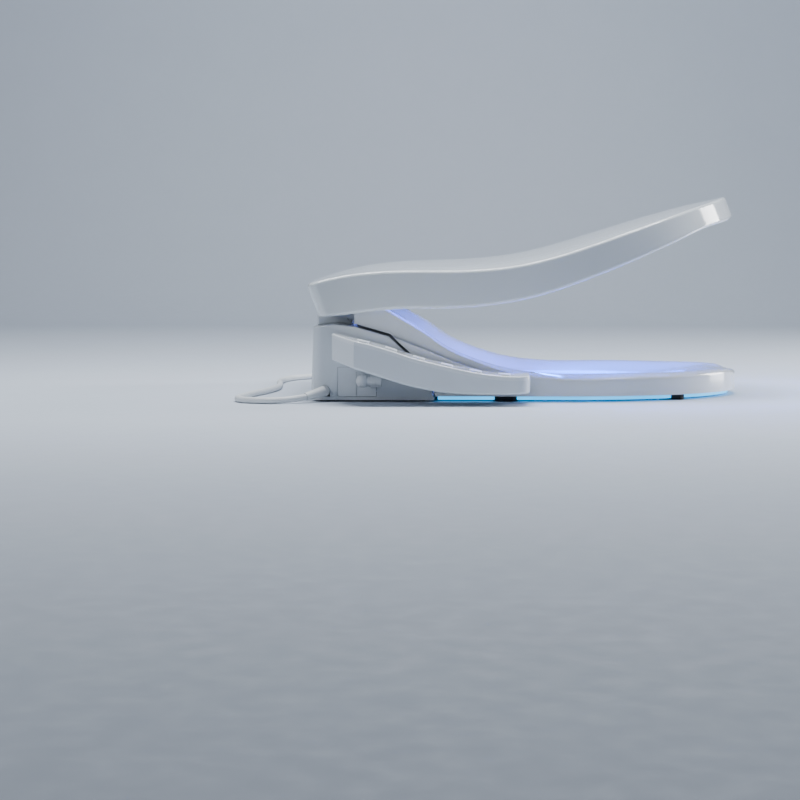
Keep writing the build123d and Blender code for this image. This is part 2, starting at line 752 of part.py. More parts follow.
for side, name in ((-1, "rear_nozzle"), (1, "front_nozzle")):
    with BuildPart() as nozzle:
        with BuildSketch(MOUTH_PLANE):
            with Locations((side * NOZZLE_X, 0)):
                Circle(NOZZLE_R)
        extrude(amount=NOZZLE_LENGTH)
        fillet(edges().filter_by(GeomType.CIRCLE).sort_by(Axis.Y)[0], 3.5)
        with BuildSketch(NOZZLE_PLANE.offset(-2.5)):
            with Locations((side * (RACK_ROOT - 2), (RACK_START + NOZZLE_LENGTH) / 2)):
                Rectangle(4, NOZZLE_LENGTH - RACK_START)
            tooth_y = PINION_Y - 1.5 * PITCH
            while tooth_y < NOZZLE_LENGTH - 1:
                Polygon(
                    (side * RACK_ROOT, tooth_y - 0.85),
                    (side * (RACK_ROOT + 2), tooth_y - 0.4),
                    (side * (RACK_ROOT + 2), tooth_y + 0.4),
                    (side * RACK_ROOT, tooth_y + 0.85),
                    align=None,
                )
                tooth_y += PITCH
        extrude(amount=5)
        with BuildSketch(NOZZLE_PLANE.offset(-7)):
            with Locations((side * NOZZLE_X, 9)):
                Circle(1.4)
        extrude(amount=5, mode=Mode.SUBTRACT)
    save(nozzle.part, name)

for side, name in ((-1, "rear_pinion"), (1, "front_pinion")):
    with BuildPart() as pinion:
        with BuildSketch(NOZZLE_PLANE.offset(-2.4)):
            with Locations((side * PINION_X, PINION_Y)):
                Circle(5.9)
                with PolarLocations(0, PINION_TEETH):
                    Polygon((5.5, -0.85), (7.8, -0.4), (7.8, 0.4), (5.5, 0.85), align=None)
        extrude(amount=4.8)
        with BuildSketch(NOZZLE_PLANE.offset(-8)):
            with Locations((side * PINION_X, PINION_Y)):
                Circle(1.5)
        extrude(amount=6)
    save(pinion.part, name)

with BuildPart() as stepper_motors:
    with BuildSketch(NOZZLE_PLANE.offset(-16)):
        with Locations((-PINION_X, PINION_Y), (PINION_X, PINION_Y)):
            Circle(10.5)
    extrude(amount=12)
    with BuildSketch(NOZZLE_PLANE.offset(-9)):
        with Locations((-PINION_X, PINION_Y), (PINION_X, PINION_Y)):
            Circle(1.5 + RUNNING)
    extrude(amount=6, mode=Mode.SUBTRACT)
    with BuildSketch(Plane.XZ.offset(-6)):
        with Locations((-61, 30)):
            Circle(11)
    extrude(amount=-18)
save(stepper_motors.part, "stepper_motors")

with BuildPart() as nozzle_cradle:
    with BuildSketch(NOZZLE_PLANE.offset(-9.5)):
        with Locations((0, 59)):
            Rectangle(35, 114)
    extrude(amount=3)
    with BuildSketch(NOZZLE_PLANE.offset(-7)):
        with Locations((0, 59)):
            Rectangle(2.4, 114)
    extrude(amount=14)
    with BuildSketch(MOUTH_PLANE.offset(-2)):
        Rectangle(54, 19)
        with Locations((-NOZZLE_X, 0), (NOZZLE_X, 0)):
            Circle(NOZZLE_R + FREE, mode=Mode.SUBTRACT)
        for side in (-1, 1):
            with Locations((side * 18.5, 0)):
                Rectangle(10, 5.8, mode=Mode.SUBTRACT)
    extrude(amount=5)
    with BuildSketch(MOUTH_PLANE.offset(113.5)):
        Rectangle(46, 19)
    extrude(amount=3)
save(nozzle_cradle.part, "nozzle_cradle")

# ---------------------------------------------------------------- water path
VALVE_X = (-185.0, -152.0)
ELBOW_X = -200.0
THREAD_R = 7.14
with BuildPart() as inlet_elbow:
    with Locations((ELBOW_X, INLET_Y, INLET_Z)):
        Sphere(7.8)
    with BuildSketch(Plane.YZ.offset(ELBOW_X)):
        with Locations((INLET_Y, INLET_Z)):
            Circle(5)
    extrude(amount=22)
    with BuildSketch(Plane.XZ.offset(-INLET_Y)):
        with Locations((ELBOW_X, INLET_Z)):
            Circle(5.6)
    extrude(amount=21)
    with BuildSketch(Plane.XZ.offset(-INLET_Y + 9)):
        with Locations((ELBOW_X, INLET_Z)):
            Circle(THREAD_R)
    extrude(amount=12)
    with BuildSketch(Plane.XZ.offset(-INLET_Y)):
        with Locations((ELBOW_X, INLET_Z)):
            Circle(3.8)
    extrude(amount=24, mode=Mode.SUBTRACT)
    with BuildSketch(Plane.YZ.offset(ELBOW_X)):
        with Locations((INLET_Y, INLET_Z)):
            Circle(3)
    extrude(amount=24, mode=Mode.SUBTRACT)
save(inlet_elbow.part, "inlet_elbow")

with BuildPart() as solenoid_valve:
    with Locations(((VALVE_X[0] + VALVE_X[1]) / 2, INLET_Y, 26)):
        Box(VALVE_X[1] - VALVE_X[0], 30, 26)
    with Locations((-166, INLET_Y, 50)):
        Cylinder(11, 22)
    with Locations((-166, INLET_Y, 63)):
        Cylinder(4, 4)
    with BuildSketch(Plane.YZ.offset(VALVE_X[0])):
        with Locations((INLET_Y, INLET_Z)):
            Circle(5 + RUNNING)
    extrude(amount=8, mode=Mode.SUBTRACT)
save(solenoid_valve.part, "solenoid_valve")

HEATER_X = (-145.0, -90.0)
with BuildPart() as water_heater:
    with Locations((-117.5, -15, 35)):
        Box(55, 60, 42)
    fillet(edges().filter_by(Axis.Z), 6)
    with BuildSketch(Plane.XY.offset(9)):
        with Locations((-117.5, -15)):
            Rectangle(30, 74)
    extrude(amount=5)
    for rib_y in range(-38, 12, 8):
        with Locations((-117.5, rib_y, 56.5)):
            Box(47, 3, 3)
save(water_heater.part, "water_heater")

with BuildPart() as diverter_valve:
    with BuildSketch(Plane.XZ.offset(34)):
        with Locations((-61, 30)):
            Circle(10)
    extrude(amount=-40)
    with Locations((-61, -14, 17)):
        Box(14, 30, 16)
    for port_y in (-26, -14, -2):
        with Locations((-61, port_y, 42)):
            Cylinder(3, 8)
save(diverter_valve.part, "diverter_valve")

with BuildPart() as water_tubes:
    with BuildSketch(Plane.YZ.offset(VALVE_X[1])):
        with Locations((-22, 24)):
            Circle(3.2)
            Circle(2, mode=Mode.SUBTRACT)
    extrude(amount=HEATER_X[0] - VALVE_X[1])
    with BuildSketch(Plane.YZ.offset(HEATER_X[1])):
        with Locations((-14, 30)):
            Circle(3.2)
            Circle(2, mode=Mode.SUBTRACT)
    extrude(amount=19)
save(water_tubes.part, "water_tubes")

# ---------------------------------------------------------------- warm air dryer
BLOWER = (84.0, -16.0)
DUCT_X = (48.0, 88.0)
DUCT_FRONT = -84.0
with BuildPart() as blower_case:
    with BuildSketch(Plane.XY.offset(12)):
        with Locations(BLOWER):
            Circle(32)
        with Locations((68, -36)):
            Rectangle(40, 40)
    extrude(amount=30)
    with BuildSketch(Plane.XY.offset(14)):
        with Locations(BLOWER):
            Circle(30)
        with Locations((68, -37)):
            Rectangle(36, 42)
    extrude(amount=26, mode=Mode.SUBTRACT)
    with Locations((BLOWER[0], BLOWER[1], 42)):
        Cylinder(21, 8, mode=Mode.SUBTRACT)
    with BuildSketch(Plane.XY.offset(9)):
        with Locations((70, 4), (98, 4), (84, -38)):
            Circle(3)
    extrude(amount=3)
save(blower_case.part, "blower_case")

with BuildPart() as blower_impeller:
    with BuildSketch(Plane.XY.offset(16)):
        with Locations(BLOWER):
            Circle(24)
            Circle(3, mode=Mode.SUBTRACT)
    extrude(amount=2)
    with BuildSketch(Plane.XY.offset(18)):
        with Locations(BLOWER):
            with PolarLocations(20.5, 24):
                Rectangle(6, 1.2, rotation=35)
    extrude(amount=14)
    with BuildSketch(Plane.XY.offset(31)):
        with Locations(BLOWER):
            Circle(24)
            Circle(19, mode=Mode.SUBTRACT)
    extrude(amount=1.5)
    with BuildSketch(Plane.XY.offset(16)):
        with Locations(BLOWER):
            Circle(6)
    extrude(amount=12)
    with BuildSketch(Plane.XY.offset(16)):
        with Locations(BLOWER):
            Circle(1.5)
    extrude(amount=30)
save(blower_impeller.part, "blower_impeller")

with BuildPart() as blower_motor:
    with BuildSketch(Plane.XY.offset(42)):
        with Locations(BLOWER):
            Circle(13)
    extrude(amount=18)
    with BuildSketch(Plane.XY.offset(42)):
        with Locations(BLOWER):
            with PolarLocations(19, 3):
                Rectangle(16, 5)
    extrude(amount=2)
    with BuildSketch(Plane.XY.offset(40)):
        with Locations(BLOWER):
            Circle(1.5 + RUNNING)
    extrude(amount=8, mode=Mode.SUBTRACT)
save(blower_motor.part, "blower_motor")

with BuildPart() as air_duct:
    with BuildSketch(Plane.XZ.offset(-DUCT_FRONT)):
        with Locations((68, 24)):
            Rectangle(40, 20)
            Rectangle(36, 16, mode=Mode.SUBTRACT)
    extrude(amount=DUCT_FRONT + 56)
save(air_duct.part, "air_duct")

with BuildPart() as air_heater:
    for wire_y in range(-78, -60, 4):
        with Locations((68, wire_y, 24)):
            Box(36, 0.8, 1.6)
    for post_x in (54, 82):
        with Locations((post_x, -70, 24)):
            Box(2, 20, 16)
save(air_heater.part, "air_heater")

FLAP_Y = -86.2
FLAP_Z = 33.0
with BuildPart() as air_flap:
    with Locations((68, FLAP_Y, 24)):
        Box(40, 1.6, 18)
    with BuildSketch(Plane.YZ.offset(46.8)):
        with Locations((FLAP_Y, FLAP_Z)):
            Circle(1.2)
    extrude(amount=42.4)
save(air_flap.part, "air_flap")

# ---------------------------------------------------------------- deodoriser
FAN = (135.0, -20.0, 34.0)
with BuildPart() as fan_case:
    with Locations((FAN[0], FAN[1], 31)):
        Box(20, 48, 50)
    with BuildSketch(Plane.YZ.offset(FAN[0] - 8)):
        with Locations((FAN[1], FAN[2])):
            Circle(20)
    extrude(amount=20, mode=Mode.SUBTRACT)
    with BuildSketch(Plane.YZ.offset(FAN[0] - 12)):
        with Locations((FAN[1], FAN[2])):
            Circle(12)
            Circle(1.5 + RUNNING)
    extrude(amount=6, mode=Mode.SUBTRACT)
    with BuildSketch(Plane.YZ.offset(FAN[0] - 10)):
        with Locations((FAN[1], FAN[2])):
            Rectangle(26, 4)
            Rectangle(4, 26)
            Circle(1.5 + RUNNING, mode=Mode.SUBTRACT)
    extrude(amount=2)
save(fan_case.part, "fan_case")

with BuildPart() as fan_rotor:
    with BuildSketch(Plane.YZ.offset(FAN[0] - 6)):
        with Locations((FAN[1], FAN[2])):
            Circle(7)
    extrude(amount=13)
    with BuildSketch(Plane.YZ.offset(FAN[0] - 4)):
        with Locations((FAN[1], FAN[2])):
            with PolarLocations(12.5, 7):
                Rectangle(13, 5)
    extrude(amount=9)
    with BuildSketch(Plane.YZ.offset(FAN[0] - 10)):
        with Locations((FAN[1], FAN[2])):
            Circle(1.5)
    extrude(amount=6)
save(fan_rotor.part, "fan_rotor")

with BuildPart() as filter_cartridge:
    with BuildSketch(Plane.YZ.offset(150)):
        with Locations((FILTER_Y, FILTER_Z)):
            RectangleRounded(52, 32, 2.7)
    extrude(amount=CASE_HALF - 150)
    with BuildSketch(Plane.YZ.offset(149)):
        with Locations((FILTER_Y, FILTER_Z)):
            with GridLocations(6.2, 6.2, 7, 4):
                RegularPolygon(2.7, 6)
    extrude(amount=34, mode=Mode.SUBTRACT)
    with BuildSketch(Plane.YZ.offset(CASE_HALF - 3)):
        with Locations((FILTER_Y, FILTER_Z)):
            SlotOverall(30, 8)
    extrude(amount=5, mode=Mode.SUBTRACT)
save(filter_cartridge.part, "filter_cartridge")

# ---------------------------------------------------------------- electronics
with BuildPart() as main_board:
    with BuildSketch(Plane.XY.offset(BOARD_Z)):
        with Locations((-116.5, -5)):
            Rectangle(73, 62)
    extrude(amount=1.6)
save(main_board.part, "main_board")

with BuildPart() as board_parts:
    with BuildSketch(Plane.XY.offset(BOARD_Z + 1.6)):
        with Locations((-140, 5), (-140, 17), (-126, 17)):
            Circle(5)
        with Locations((-105, 12)):
            Rectangle(18, 14)
    extrude(amount=8)
    with BuildSketch(Plane.XY.offset(BOARD_Z + 1.6)):
        with Locations((-120, -12)):
            Rectangle(14, 14)
        with Locations((-104, 0)):
            with GridLocations(9, 6, 3, 2):
                Rectangle(5, 3)
        with Locations((-95, -20), (-95, -10), (-140, -22)):
            Rectangle(8, 5)
    extrude(amount=3)
save(board_parts.part, "board_parts")

with BuildPart() as power_supply:
    with Locations((130, 19, 29)):
        Box(34, 20, 34)
    with Locations((130, 19, 29)):
        Box(22, 24, 24)
    with Locations((130, 19, 10.5)):
        Box(44, 14, 3)
save(power_supply.part, "power_supply")

# ---------------------------------------------------------------- cord
CORD_WAY = (-0.629, 0.749, -0.208)  # direction in which the lead leaves the housing
BOOT_LENGTH = 26.0
BOOT_START = (-194.0, 22.6, 12.3)
boot_plane = Plane(origin=BOOT_START, z_dir=CORD_WAY)
with BuildPart() as cord_gland:
    with BuildSketch(Plane.YZ.offset(-194)):
        with Locations((CORD_Y, CORD_Z)):
            Circle(6.2)
    extrude(amount=10)
    with BuildSketch(boot_plane):
        Circle(6)
    with BuildSketch(boot_plane.offset(BOOT_LENGTH)):
        Circle(CORD_D / 2 + 0.9)
    loft()
save(cord_gland.part, "cord_gland")

FLOOR_Z = CORD_D / 2
COIL_CENTRE = (245.0, -6.0)
COIL_R = 41.0
COIL_TURNS = 3
TIE_LIFT = 0.6
# Route of the lead from the boot to the coil, on the surface the seat stands on
ROUTE = (
    (-210.4, 42.1, 6.9),
    (-226.9, 61.6, 4.2),
    (-230.1, 87.4, FLOOR_Z),
    (-218.3, 110.6, FLOOR_Z),
    (-195.6, 123.2, FLOOR_Z),
    (-163.7, 120.4, FLOOR_Z),
    (-108.0, 114.0, FLOOR_Z),
    (-50.0, 101.0, FLOOR_Z),
    (8.0, 95.0, FLOOR_Z),
    (66.0, 96.0, FLOOR_Z),
    (124.0, 104.0, FLOOR_Z),
    (184.0, 103.0, FLOOR_Z),
    (226.0, 94.0, FLOOR_Z),
    (262.0, 71.0, FLOOR_Z),
    (283.0, 37.0, FLOOR_Z + 0.2),
    (289.5, 0.0, FLOOR_Z + TIE_LIFT),
)
# The free end, from the top of the coil to the plug
TAIL = (
    (290.0, -10.0, 3 * FLOOR_Z + TIE_LIFT),
    (290.5, -34.0, 11.6),
    (288.5, -58.0, 11.0),
)


def cord_tube(route, name):
    """Lead along a route of straight runs joined by tangent arcs."""
    points = [Vector(*p) for p in route]
    radii = []
    for before, here, after in zip(points, points[1:], points[2:]):
        turn = math.radians((here - before).get_angle(after - here))
        shorter = min((here - before).length, (after - here).length)
        radii.append(0.45 * shorter / math.tan(turn / 2))
    with BuildPart() as made:
        with BuildLine():
            path = FilletPolyline(*points, radius=radii)
        length = path.length
        start = Plane(origin=points[0], z_dir=points[1] - points[0])
        with BuildSketch(start):
            Circle(CORD_D / 2)
        sweep()
    section = math.pi * (CORD_D / 2) ** 2
    print(name, "radii", [round(r) for r in radii], "length", round(length, 1))
    print(name, "volume", round(made.part.volume), "section x length", round(section * length))
    save(made.part, name)


cord_tube(ROUTE, "cord_lead")
cord_tube(TAIL, "cord_tail")

with BuildPart() as cord_coil:
    with BuildSketch(Plane.XY.offset(TIE_LIFT)):
        with Locations(COIL_CENTRE):
            Circle(COIL_R + CORD_D)
            Circle(COIL_R - CORD_D, mode=Mode.SUBTRACT)
    extrude(amount=2 * CORD_D)
    fillet(edges().filter_by(GeomType.CIRCLE), 2.5)
save(cord_coil.part, "cord_coil")

with BuildPart() as cord_tie:
    with Locations((COIL_CENTRE[0], COIL_CENTRE[1] - COIL_R, CORD_D + TIE_LIFT)):
        Box(8, 2 * CORD_D + 1.2, 2 * CORD_D + 1.2)
        Box(9, 2 * CORD_D + 0.04, 2 * CORD_D + 0.04, mode=Mode.SUBTRACT)
save(cord_tie.part, "cord_tie")

PLUG = (286.0, -58.0, 11.0)
PIN_ROOT = PLUG[1] - 42
with BuildPart() as plug:
    with BuildSketch(Plane.XZ.offset(-PLUG[1])):
        with Locations((PLUG[0] + 2, PLUG[2])):
            Circle(6)
    with BuildSketch(Plane.XZ.offset(-PLUG[1] + 16)):
        with Locations((PLUG[0], PLUG[2])):
            Circle(7.5)
    loft()
    with BuildSketch(Plane.XZ.offset(-PLUG[1] + 16)):
        with Locations((PLUG[0], PLUG[2])):
            RectangleRounded(34, 22, 8)
    extrude(amount=26)
    fillet(edges().group_by(Axis.Y)[0], 2)
save(plug.part, "plug")

with BuildPart() as plug_pins:
    for pin_x, pin_z, turn in ((-6.5, 2.5, 30), (6.5, 2.5, -30), (0, -5, 0)):
        with BuildSketch(Plane.XZ.offset(-PIN_ROOT)):
            with Locations((PLUG[0] + pin_x, PLUG[2] + pin_z)):
                Rectangle(1.6, 6.2, rotation=turn)
        extrude(amount=18)
save(plug_pins.part, "plug_pins")
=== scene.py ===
"""Electric bidet seat with its lid up at a slant: looks, lights and camera.

Metres, in the CAD frame: front towards -Y, hinge at the rear, +Z up, and the
control arm on the -X side, which is the side that the camera sees.
"""

import math

import bpy
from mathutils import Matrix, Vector


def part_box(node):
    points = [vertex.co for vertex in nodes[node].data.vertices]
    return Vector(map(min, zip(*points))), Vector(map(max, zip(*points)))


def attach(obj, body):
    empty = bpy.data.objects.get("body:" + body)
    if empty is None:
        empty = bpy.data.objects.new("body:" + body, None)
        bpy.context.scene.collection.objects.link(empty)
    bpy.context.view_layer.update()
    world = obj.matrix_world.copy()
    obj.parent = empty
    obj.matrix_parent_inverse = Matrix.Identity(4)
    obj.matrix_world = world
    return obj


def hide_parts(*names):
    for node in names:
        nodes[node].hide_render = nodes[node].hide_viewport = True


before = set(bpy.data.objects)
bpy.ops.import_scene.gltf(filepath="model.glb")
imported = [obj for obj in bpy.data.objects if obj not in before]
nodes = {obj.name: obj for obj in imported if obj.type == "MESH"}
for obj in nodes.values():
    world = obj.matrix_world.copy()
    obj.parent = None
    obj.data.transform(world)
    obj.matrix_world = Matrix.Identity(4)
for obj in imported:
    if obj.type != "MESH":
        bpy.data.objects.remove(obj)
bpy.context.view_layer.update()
scene = bpy.context.scene


def link(obj):
    """Puts a new object into the scene."""
    scene.collection.objects.link(obj)
    return obj


def aim(obj, way):
    """Turns a camera or a lamp so that it looks along way."""
    obj.rotation_mode = "QUATERNION"
    obj.rotation_quaternion = Vector(way).to_track_quat("-Z", "Y")


# ---------------------------------------------------------------- camera
CAMERA_AT = Vector((-2.5, -0.1447, 0.1598))
CAMERA_YAW = math.radians(1.98)  # towards the hinge
CAMERA_DOWN = math.radians(3.9)
LENS_MM = 90.95
SENSOR_MM = 36

camera_data = bpy.data.cameras.new("camera")
camera_data.lens = LENS_MM
camera_data.sensor_width = SENSOR_MM
camera = link(bpy.data.objects.new("camera", camera_data))
camera.location = CAMERA_AT
aim(
    camera,
    (
        math.cos(CAMERA_DOWN) * math.cos(CAMERA_YAW),
        math.cos(CAMERA_DOWN) * math.sin(CAMERA_YAW),
        -math.sin(CAMERA_DOWN),
    ),
)
scene.camera = camera

# ---------------------------------------------------------------- mains cord
CORD_DIAMETER = 0.0075
CORD_ARC_POINTS = 6  # roundness of its section
CORD_LINE_STEPS = 8  # pieces of line to each point of its route
RESTING = CORD_DIAMETER / 2  # height of its middle where it lies on the floor
COIL_LOW = 0.00435
COIL_HIGH = 0.01185
CORD_EXIT = (-0.2104, 0.0421, 0.0069)
LEAD = [
    CORD_EXIT,
    (-0.2269, 0.0616, 0.0042),
    (-0.2301, 0.0874, RESTING),
    (-0.2183, 0.1106, RESTING),
    (-0.1956, 0.1232, RESTING),
    (-0.1637, 0.1204, RESTING),
    (-0.1080, 0.1140, RESTING),
    (-0.0500, 0.1010, RESTING),
    (0.0080, 0.0950, RESTING),
    (0.0660, 0.0960, RESTING),
    (0.1240, 0.1040, RESTING),
    (0.1840, 0.1030, RESTING),
    (0.2260, 0.0940, RESTING),
    (0.2620, 0.0710, RESTING),
    (0.2830, 0.0370, 0.00395),
    (0.2895, 0.0, COIL_LOW),
]
TAIL = [
    (0.2900, -0.0100, COIL_HIGH),
    (0.2905, -0.0340, 0.0116),
    (0.2885, -0.0580, 0.0110),
]
COIL_CENTRE = (0.245, -0.006)
COIL_OUTER = 0.04475
COIL_INNER = 0.03725
COIL_TURNS = 3
POINTS_PER_TURN = 24
# Degrees along the coil between which the line moves to the inner radius, climbs
# onto the turns below, and moves back to the outer radius.
MOVE_IN = (300, 360)
CLIMB = (600, 675)
MOVE_OUT = (740, 810)


def ease(value, start, end):
    """0 before start, 1 after end, and smooth between them."""
    share = min(max((value - start) / (end - start), 0.0), 1.0)
    return share * share * (3 - 2 * share)


def coil_points():
    """Flat coil of three turns, the last one laid on top of the first."""
    step = 360 / POINTS_PER_TURN
    # The smooth line runs inside its points, so they stand a little further out.
    swell = 1 / math.cos(math.radians(step / 2))
    start = math.degrees(
        math.atan2(LEAD[-1][1] - COIL_CENTRE[1], LEAD[-1][0] - COIL_CENTRE[0])
    )
    made = []
    for k in range(1, COIL_TURNS * POINTS_PER_TURN + 1):
        turned = k * step
        inwards = ease(turned, *MOVE_IN) - ease(turned, *MOVE_OUT)
        upwards = ease(turned, *CLIMB)
        radius = COIL_OUTER + (COIL_INNER - COIL_OUTER) * inwards
        angle = math.radians(start - turned)
        made.append(
            (
                COIL_CENTRE[0] + swell * radius * math.cos(angle),
                COIL_CENTRE[1] + swell * radius * math.sin(angle),
                COIL_LOW + (COIL_HIGH - COIL_LOW) * upwards,
            )
        )
    return made


def cord_curve(points, thickness):
    """Smooth line along points; thickness is its radius, 0 for a bare line."""
    curve = bpy.data.curves.new("cord_line", "CURVE")
    curve.dimensions = "3D"
    curve.bevel_depth = thickness
    curve.bevel_resolution = CORD_ARC_POINTS
    curve.resolution_u = CORD_LINE_STEPS
    curve.use_fill_caps = True
    spline = curve.splines.new("NURBS")
    spline.points.add(len(points) - 1)
    for point, place in zip(spline.points, points):
        point.co = (*place, 1)
    spline.order_u = 3
    spline.use_endpoint_u = True
    return curve


def meshed(curve, name):
    """Mesh of a curve. A curve object's own box is a metre too wide all round."""
    holder = link(bpy.data.objects.new("cord_line", curve))
    depsgraph = bpy.context.evaluated_depsgraph_get()
    mesh = bpy.data.meshes.new_from_object(
        holder.evaluated_get(depsgraph), depsgraph=depsgraph
    )
    mesh.name = name
    bpy.data.objects.remove(holder)
    return mesh


cord_points = LEAD + coil_points() + TAIL
cord_path = [
    tuple(v.co) for v in meshed(cord_curve(cord_points, 0), "cord_path").vertices
]
mains_cord = link(
    bpy.data.objects.new(
        "mains_cord",
        meshed(cord_curve(cord_points, CORD_DIAMETER / 2), "mains_cord"),
    )
)
cord_faces = mains_cord.data.polygons
cord_faces.foreach_set("use_smooth", [True] * len(cord_faces))
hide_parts("cord_lead", "cord_coil", "cord_tail")
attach(mains_cord, "housing")


# ---------------------------------------------------------------- materials
NOISE_LOW = 0.3  # a noise seldom goes below or above these
NOISE_HIGH = 0.7
IOR_PLASTIC = 1.49


def node_material(name):
    """New material, with its node tree and its shader."""
    made = bpy.data.materials.new(name)
    made.use_nodes = True
    return made, made.node_tree, made.node_tree.nodes["Principled BSDF"]


def texture_space(tree):
    """Object coordinates in metres, which move with the piece."""
    return tree.nodes.new("ShaderNodeTexCoord").outputs["Object"]


def noise(tree, space, scale, detail=3.0, roughness=0.5):
    made = tree.nodes.new("ShaderNodeTexNoise")
    made.inputs["Scale"].default_value = scale
    made.inputs["Detail"].default_value = detail
    made.inputs["Roughness"].default_value = roughness
    tree.links.new(space, made.inputs["Vector"])
    return made.outputs["Fac"]


def spread(tree, value, low, high):
    """Maps a noise onto low to high."""
    made = tree.nodes.new("ShaderNodeMapRange")
    made.inputs["From Min"].default_value = NOISE_LOW
    made.inputs["From Max"].default_value = NOISE_HIGH
    made.inputs["To Min"].default_value = low
    made.inputs["To Max"].default_value = high
    tree.links.new(value, made.inputs["Value"])
    return made.outputs["Result"]


def tint(tree, value, dark, light):
    """Colour between dark and light by a noise."""
    made = tree.nodes.new("ShaderNodeValToRGB")
    made.color_ramp.elements[0].position = NOISE_LOW
    made.color_ramp.elements[1].position = NOISE_HIGH
    made.color_ramp.elements[0].color = (*dark, 1)
    made.color_ramp.elements[1].color = (*light, 1)
    tree.links.new(value, made.inputs["Fac"])
    return made.outputs["Color"]


def relief(tree, shader, height, depth, strength):
    """Bumps the surface by a height, depth metres deep."""
    made = tree.nodes.new("ShaderNodeBump")
    made.inputs["Strength"].default_value = strength
    made.inputs["Distance"].default_value = depth
    tree.links.new(height, made.inputs["Height"])
    tree.links.new(made.outputs["Normal"], shader.inputs["Normal"])


def shade(colour, factor):
    """A lighter or darker colour."""
    return tuple(min(1.0, part * factor) for part in colour)


def moulded(name, colour, rough, grain=1400.0, depth=0.00002, coat=0.0, vary=0.03):
    """Injection-moulded plastic: flow marks in its colour, fine skin texture."""
    made, tree, shader = node_material(name)
    space = texture_space(tree)
    flow = noise(tree, space, scale=9, detail=2)
    tree.links.new(
        tint(tree, flow, shade(colour, 1 - vary), shade(colour, 1 + vary / 2)),
        shader.inputs["Base Color"],
    )
    wear = noise(tree, space, scale=55, detail=4)
    tree.links.new(
        spread(tree, wear, rough * 0.85, rough * 1.2), shader.inputs["Roughness"]
    )
    skin = noise(tree, space, scale=grain, detail=2)
    relief(tree, shader, skin, depth, strength=0.35)
    shader.inputs["IOR"].default_value = IOR_PLASTIC
    shader.inputs["Coat Weight"].default_value = coat
    shader.inputs["Coat Roughness"].default_value = 0.06
    return made


def metal(name, colour, rough, grain=900.0):
    """Turned or plated metal with fine scratches."""
    made, tree, shader = node_material(name)
    space = texture_space(tree)
    stretch = tree.nodes.new("ShaderNodeMapping")
    stretch.inputs["Scale"].default_value = (0.08, 1, 1)
    tree.links.new(space, stretch.inputs["Vector"])
    lines = noise(tree, stretch.outputs["Vector"], scale=grain)
    tree.links.new(
        tint(tree, lines, shade(colour, 0.9), colour), shader.inputs["Base Color"]
    )
    tree.links.new(
        spread(tree, lines, rough * 0.8, rough * 1.3), shader.inputs["Roughness"]
    )
    relief(tree, shader, lines, depth=0.00001, strength=0.3)
    shader.inputs["Metallic"].default_value = 1
    return made


def rubber(name, colour, rough=0.7):
    """Matt rubber with a coarse skin."""
    made, tree, shader = node_material(name)
    space = texture_space(tree)
    skin = noise(tree, space, scale=700, detail=4, roughness=0.6)
    tree.links.new(
        tint(tree, skin, shade(colour, 0.8), shade(colour, 1.25)),
        shader.inputs["Base Color"],
    )
    tree.links.new(
        spread(tree, skin, rough * 0.9, rough * 1.15), shader.inputs["Roughness"]
    )
    relief(tree, shader, skin, depth=0.00005, strength=0.5)
    return made


def lit_plastic(name, colour, glow, strength):
    """Diffusing lens that is lit from inside, a little brighter in patches."""
    made, tree, shader = node_material(name)
    space = texture_space(tree)
    patches = noise(tree, space, scale=40, detail=2)
    tree.links.new(
        tint(tree, patches, shade(colour, 0.92), colour), shader.inputs["Base Color"]
    )
    tree.links.new(
        tint(tree, patches, shade(glow, 0.85), glow), shader.inputs["Emission Color"]
    )
    shader.inputs["Emission Strength"].default_value = strength
    shader.inputs["Roughness"].default_value = 0.3
    skin = noise(tree, space, scale=1100, detail=2)
    relief(tree, shader, skin, depth=0.00002, strength=0.3)
    return made


def circuit_board(name):
    """Green solder mask with lighter copper tracks under it."""
    made, tree, shader = node_material(name)
    space = texture_space(tree)
    tracks = tree.nodes.new("ShaderNodeTexBrick")
    tracks.inputs["Scale"].default_value = 60
    tracks.inputs["Mortar Size"].default_value = 0.06
    tracks.inputs["Color1"].default_value = (0.01, 0.11, 0.045, 1)
    tracks.inputs["Color2"].default_value = (0.012, 0.13, 0.05, 1)
    tracks.inputs["Mortar"].default_value = (0.03, 0.24, 0.10, 1)
    tree.links.new(space, tracks.inputs["Vector"])
    tree.links.new(tracks.outputs["Color"], shader.inputs["Base Color"])
    relief(tree, shader, tracks.outputs["Fac"], depth=0.00003, strength=0.4)
    shader.inputs["Roughness"].default_value = 0.35
    return made


def carbon(name):
    """Pleated filter medium."""
    made, tree, shader = node_material(name)
    space = texture_space(tree)
    pleats = tree.nodes.new("ShaderNodeTexWave")
    pleats.inputs["Scale"].default_value = 120
    pleats.inputs["Distortion"].default_value = 0.4
    tree.links.new(space, pleats.inputs["Vector"])
    tree.links.new(
        tint(tree, pleats.outputs["Fac"], (0.012, 0.012, 0.013), (0.05, 0.05, 0.055)),
        shader.inputs["Base Color"],
    )
    relief(tree, shader, pleats.outputs["Fac"], depth=0.0006, strength=0.7)
    shader.inputs["Roughness"].default_value = 0.85
    return made


def ribbed_white(name):
    """White moulding with a knurl round it."""
    made, tree, shader = node_material(name)
    space = texture_space(tree)
    tree.links.new(
        tint(
            tree, noise(tree, space, scale=30), (0.68, 0.71, 0.75), (0.78, 0.80, 0.83)
        ),
        shader.inputs["Base Color"],
    )
    ribs = tree.nodes.new("ShaderNodeTexWave")
    ribs.bands_direction = "Y"
    ribs.inputs["Scale"].default_value = 90
    ribs.inputs["Distortion"].default_value = 0.1
    tree.links.new(space, ribs.inputs["Vector"])
    relief(tree, shader, ribs.outputs["Fac"], depth=0.00025, strength=0.5)
    shader.inputs["Roughness"].default_value = 0.3
    return made


